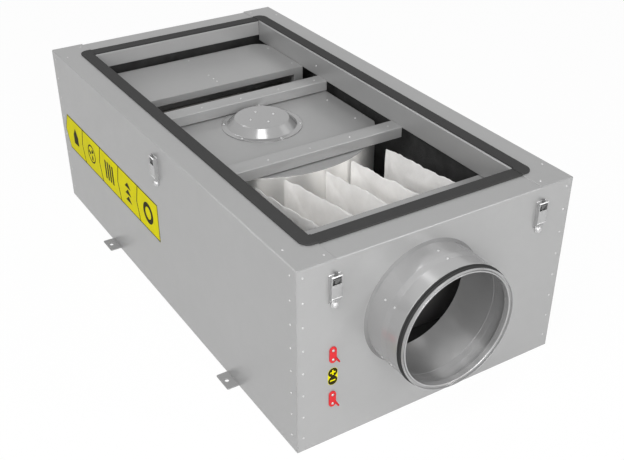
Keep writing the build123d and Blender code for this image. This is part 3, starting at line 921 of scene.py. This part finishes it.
def foam_end(name, side, axis, material, node):
    """End slab with a round hole for the duct and a recess for the collar's flange."""
    half, z0, z1 = INNER_X - FOAM - LINING_GAP, FLOOR_TOP + LINING_GAP, LINING_TOP
    back, face = LINING_Y, INNER_Y - FOAM
    hole, recess = TUBE_RADIUS + DUCT_GAP, COLLAR_FLANGE_RADIUS + RECESS_GAP
    turns = [math.tau * k / RAYS for k in range(RAYS)]
    turns += [math.atan2(z - axis[1], x - axis[0]) % math.tau for x in (-half, half) for z in (z0, z1)]
    bm = bmesh.new()
    rings = []
    for turn in sorted(turns):
        way = Vector((math.cos(turn), math.sin(turn)))
        reach_x = ((half if way.x > 0 else -half) - axis[0]) / way.x if abs(way.x) > 1e-6 else math.inf
        reach_z = ((z1 if way.y > 0 else z0) - axis[1]) / way.y if abs(way.y) > 1e-6 else math.inf
        edge = min(reach_x, reach_z)
        section = [(edge, back), (edge, face + FOAM_ROUND), (edge - 0.8, face + 0.7), (edge - 2.6, face)]
        for share in (0.66, 0.33):
            reach = hole + (edge - 2.6 - hole) * share
            section.append((reach, face + uneven(Vector((way.x * reach, side, way.y * reach)))))
        section += [(hole + 2.4, face), (hole + 0.7, face + 0.8), (hole, face + FOAM_ROUND)]
        section += [(hole, back - RECESS_DEPTH), (recess, back - RECESS_DEPTH), (recess, back)]
        ring = []
        for distance, y in section:
            ring.append(bm.verts.new((axis[0] + way.x * distance, side * y, axis[1] + way.y * distance)))
        rings.append(ring)
    skin(bm, rings)
    made = piece(name, bm, material)
    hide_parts(node)


def foam_lining(material):
    """Soft-edged foam in the place of the CAD slabs."""
    bay_x, foot = INNER_X - FOAM, FLOOR_TOP + LINING_GAP
    low, high = (-LINING_X, -LINING_Y, LINING_FOOT), (LINING_X, LINING_Y, FLOOR_TOP)
    foam_slab("floor_lining", low, high, material, "floor_foam")
    low, high = (-LINING_X, -LINING_Y, foot), (-bay_x, LINING_Y, LINING_TOP)
    foam_slab("left_lining", low, high, material, "left_foam")
    low, high = (bay_x, -LINING_Y, foot), (LINING_X, LINING_Y, LINING_TOP)
    foam_slab("right_lining", low, high, material, "right_foam")
    foam_end("front_lining", -1, INLET_AXIS, material, "front_foam")
    foam_end("back_lining", 1, OUTLET_AXIS, material, "back_foam")


def gasket_stations():
    """Pairs of inner and outer points round the opening, closest at the corners."""
    (inner_x, inner_y), (outer_x, outer_y) = GASKET_INNER, GASKET_OUTER
    end_run = [*STEP_XS, *END_XS]
    end_run += [-x for x in end_run[::-1]]
    stations = []
    for sx, sy, start in ((1, 1, 0), (-1, 1, 90), (-1, -1, 180), (1, -1, 270)):
        centre = (sx * (outer_x - GASKET_CORNER), sy * (outer_y - GASKET_CORNER))
        for k in range(CORNER_STEPS + 1):
            turn = math.radians(start + 90 * k / CORNER_STEPS)
            outer = (centre[0] + GASKET_CORNER * math.cos(turn), centre[1] + GASKET_CORNER * math.sin(turn))
            stations.append(((sx * inner_x, sy * inner_y), outer))
        if sy == sx:
            stations += [((sx * x, sy * inner_y), (sx * x, sy * outer_y)) for x in end_run]
        else:
            stations += [((sx * inner_x, sy * y), (sx * outer_x, sy * y)) for y in SIDE_YS]
    return stations


def gasket(material):
    """Flat foam band with soft edges; it fills the step between the flanges."""
    bm = bmesh.new()
    rings = []
    for inner, outer in gasket_stations():
        on_end = abs(outer[0]) <= STEP_XS[1]
        low = HEIGHT + GASKET_LIFT - (SHEET if on_end else 0.0)
        top = GASKET_TOP - (END_GASKET_DROP if on_end else 0.0)
        inner, outer = Vector(inner), Vector(outer)
        way = (outer - inner).normalized()
        width = (outer - inner).length
        section = [(0, low), (0, top - 1.1), (0.3, top - 0.35), (1.1, top - 0.05), (4.0, top)]
        section += [(width - d, z) for d, z in section[::-1]]
        rings.append([bm.verts.new((*(inner + way * w), z)) for w, z in section])
    skin(bm, rings)
    bmesh.ops.remove_doubles(bm, verts=bm.verts, dist=0.01)
    made = piece("gasket_band", bm, material)
    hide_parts("lid_gasket")


def dress_nodes(frame, looks, special):
    """Gives each CAD node the material of its slot, or its own where it has one."""
    slots = {row["node"]: row["material_slot"] for row in frame["record"]["subparts"]}
    for name, node in frame["nodes"].items():
        node.data.materials.clear()
        node.data.materials.append(special.get(name, looks[slots[name]]))


def channel_half(inset, radius):
    """Half of a rail's outline, as (across, height), from the foot of its leg round the fold."""
    side, top = inset - RAIL_HALF_DEPTH, RAIL_TOP - inset
    points = [(side, RAIL_TOP - RAIL_LEG)]
    for k in range(FOLD_STEPS + 1):
        turn = math.radians(90 * k / FOLD_STEPS)
        points.append((side + radius - radius * math.cos(turn), top - radius + radius * math.sin(turn)))
    return points


def rails(material):
    """Inverted channels with rounded folds, whose legs stop a little above the fan box."""
    outer, inner = channel_half(0.0, RAIL_FOLD), channel_half(SHEET, RAIL_INNER_FOLD)
    section = outer + [(0.0, RAIL_TOP)] + [(-y, z) for y, z in outer[::-1]]
    section += [(-y, z) for y, z in inner] + [(0.0, RAIL_TOP - SHEET)] + inner[::-1]
    for name, y in (("front_rail", FRONT_RAIL_Y), ("rear_rail", REAR_RAIL_Y)):
        bm = bmesh.new()
        rings = [[bm.verts.new((x, y + off, z)) for off, z in section] for x in (-RAIL_HALF, RAIL_HALF)]
        skin(bm, rings, closed=False)
        for ring in rings:
            bm.faces.new(ring)
        made = piece(f"{name}_channel", bm, material)
        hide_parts(name)


def add_camera():
    """Camera at the photograph's place."""
    turn, tilt = math.radians(CAMERA_TURN), math.radians(CAMERA_TILT)
    back = Vector((math.sin(turn) * math.cos(tilt), -math.cos(turn) * math.cos(tilt), math.sin(tilt)))
    right = Vector((math.cos(turn), math.sin(turn), 0))
    up = back.cross(right)
    data = bpy.data.cameras.new("camera")
    data.lens = CAMERA_LENS
    data.sensor_width = CAMERA_SENSOR
    data.shift_y = CAMERA_SHIFT
    camera = bpy.data.objects.new("camera", data)
    rotation = Matrix((right, up, back)).transposed().to_4x4()
    camera.matrix_world = Matrix.Translation(CAMERA_PLACE) @ rotation
    bpy.context.collection.objects.link(camera)
    bpy.context.scene.camera = camera


def lamp(name, position, target, size, power):
    data = bpy.data.lights.new(name, "AREA")
    data.shape = "SQUARE"
    data.size = size
    data.energy = power
    made = bpy.data.objects.new(name, data)
    made.location = position
    made.rotation_euler = (Vector(target) - Vector(position)).to_track_quat("-Z", "Y").to_euler()
    bpy.context.collection.objects.link(made)


def seen_directly(tree):
    """1 for rays from the camera, from gloss and through glass, else 0."""
    path = tree.nodes.new("ShaderNodeLightPath")
    first = tree.nodes.new("ShaderNodeMath")
    second = tree.nodes.new("ShaderNodeMath")
    second.use_clamp = True
    tree.links.new(path.outputs["Is Camera Ray"], first.inputs[0])
    tree.links.new(path.outputs["Is Glossy Ray"], first.inputs[1])
    tree.links.new(first.outputs[0], second.inputs[0])
    tree.links.new(path.outputs["Is Transmission Ray"], second.inputs[1])
    return second.outputs[0]


def add_world(strength):
    """White to the eye and to gloss, a plain soft light to everything else."""
    world = bpy.data.worlds.new("studio")
    bpy.context.scene.world = world
    world.use_nodes = True
    tree = world.node_tree
    soft = tree.nodes["Background"]
    soft.inputs["Color"].default_value = (1, 1, 1, 1)
    soft.inputs["Strength"].default_value = strength
    white = tree.nodes.new("ShaderNodeBackground")
    white.inputs["Color"].default_value = (1, 1, 1, 1)
    mix = tree.nodes.new("ShaderNodeMixShader")
    tree.links.new(seen_directly(tree), mix.inputs[0])
    tree.links.new(soft.outputs[0], mix.inputs[1])
    tree.links.new(white.outputs[0], mix.inputs[2])
    tree.links.new(mix.outputs[0], tree.nodes["World Output"].inputs[0])


def add_floor():
    """White studio floor that keeps a faint shadow."""
    material, tree, shader = shaded("studio_floor")
    shader.inputs["Base Color"].default_value = (0.9, 0.9, 0.9, 1)
    shader.inputs["Roughness"].default_value = 0.9
    shader.inputs["Specular IOR Level"].default_value = 0.0
    glow = tree.nodes.new("ShaderNodeEmission")
    glow.inputs["Strength"].default_value = 1.0
    mix = tree.nodes.new("ShaderNodeMixShader")
    part = ranged(tree, seen_directly(tree), 0.0, FLOOR_WHITE, start=0.0, end=1.0)
    tree.links.new(part, mix.inputs[0])
    tree.links.new(shader.outputs[0], mix.inputs[1])
    tree.links.new(glow.outputs[0], mix.inputs[2])
    tree.links.new(mix.outputs[0], tree.nodes["Material Output"].inputs[0])
    bm = bmesh.new()
    bmesh.ops.create_grid(bm, x_segments=8, y_segments=8, size=FLOOR_HALF)
    mesh = bpy.data.meshes.new("studio_floor")
    bm.to_mesh(mesh)
    bm.free()
    mesh.materials.append(material)
    floor = bpy.data.objects.new("studio_floor", mesh)
    bpy.context.collection.objects.link(floor)


def main():
    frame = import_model()
    looks = slot_materials()
    bright = turned_steel("rivet_metal", grey(0.52), rough=(0.28, 0.34))
    inner = sheet_metal("inner_sheet", grey(0.33), rough=(0.29, 0.33))
    domed = sheet_metal("domed_sheet", grey(0.34), metallic=0.55, rough=(0.17, 0.21))
    # Light steel on the catches' folds: painted highlights along their edges.
    fold_highlight = turned_steel("painted_highlight_edge", grey(0.85), metallic=0.4)
    # Dark steel for the catch hooks: painted shade that keeps the catches' windows dark.
    hook_painted_shade = turned_steel("hook_shade_steel", grey(0.11), metallic=0.3, rough=(0.32, 0.4))
    # Dark rubber for the rings at the collars' roots: painted shade for their contact shadow.
    painted_root_shade = rubber("painted_root_shade", grey(0.185), rough=(0.5, 0.6))
    polished = sheet_metal("polished_sheet", (0.93, 0.925, 0.91), metallic=0.8, rough=(0.34, 0.40))
    yellow = plastic("yellow_film", (0.66, 0.60, 0.003))
    ink = plastic("ink_film", (0.026, 0.023, 0.008))
    special = {"fan_housing": polished, "motor_cover": domed, "catch_hooks": hook_painted_shade}
    special |= dict.fromkeys(("fan_cover", "heater_housing", "heater_frame", "filter_frame"), inner)
    dress_nodes(frame, looks, special)
    casing_rivets(bright)
    inner_rivets(bright)
    spigot_rivets(bright)
    duct_seals(looks["seal_rubber"])
    collar_seams(looks["spigot_steel"])
    collar_roots(painted_root_shade)
    rails(inner)
    catch_screws(bright)
    catch_folds(fold_highlight)
    tap_screws(bright)
    function_strip(yellow, ink)
    polarity_sticker(yellow, ink)
    foam_lining(looks["acoustic_foam"])
    gasket(looks["gasket_foam"])
    filter_bags(looks["filter_fleece"])
    add_camera()
    add_world(AMBIENT)
    add_floor()
    for row in LAMPS:
        lamp(*row)
    bpy.context.scene.view_settings.view_transform = "Standard"


main()
